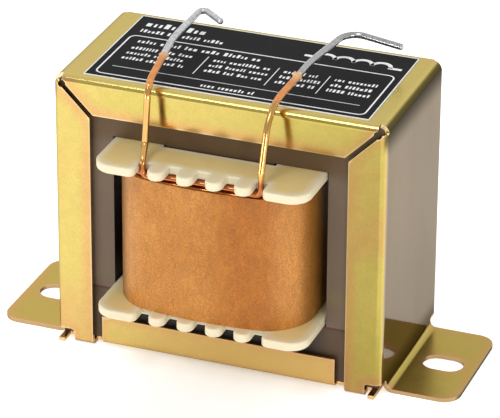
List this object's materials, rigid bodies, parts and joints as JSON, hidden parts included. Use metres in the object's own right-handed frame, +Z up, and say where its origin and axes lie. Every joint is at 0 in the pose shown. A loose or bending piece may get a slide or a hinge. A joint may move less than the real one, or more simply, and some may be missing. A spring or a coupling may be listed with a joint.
{
  "type": "crossover inductor",
  "caption": "Iron-core crossover inductor: a wire coil on a combed bobbin around E and I laminations, clamped in a folded sheet frame with slotted feet.",
  "frame": {"origin": "on the mounting plane, under the middle of the core", "axes": "+X from foot to foot, +Y from the side with the rising leads to the back, +Z up from the mounting plane"},
  "size_m": [0.0958, 0.056, 0.0636],
  "materials": {
    "frame_plating": "yellow chromated zinc on steel sheet, glossy",
    "base_plating": "yellow chromated zinc on steel sheet, glossy",
    "lamination": "oxidised stamped laminations, satin",
    "gap_card": "pressed card",
    "nylon": "natural moulded nylon, slightly translucent",
    "wire": "enamelled copper, bright, tinned at the ends",
    "kraft_paper": "brown kraft paper",
    "label_film": "printed black film, satin"
  },
  "bodies": {
    "root": {"frame": "frame_plating", "base_plate": "base_plating", "e_stack": "lamination", "i_stack": "lamination", "gap_shim": "gap_card", "bobbin": "nylon", "winding": "wire", "wrap": "kraft_paper", "label": "label_film"}
  },
  "joints": []
}
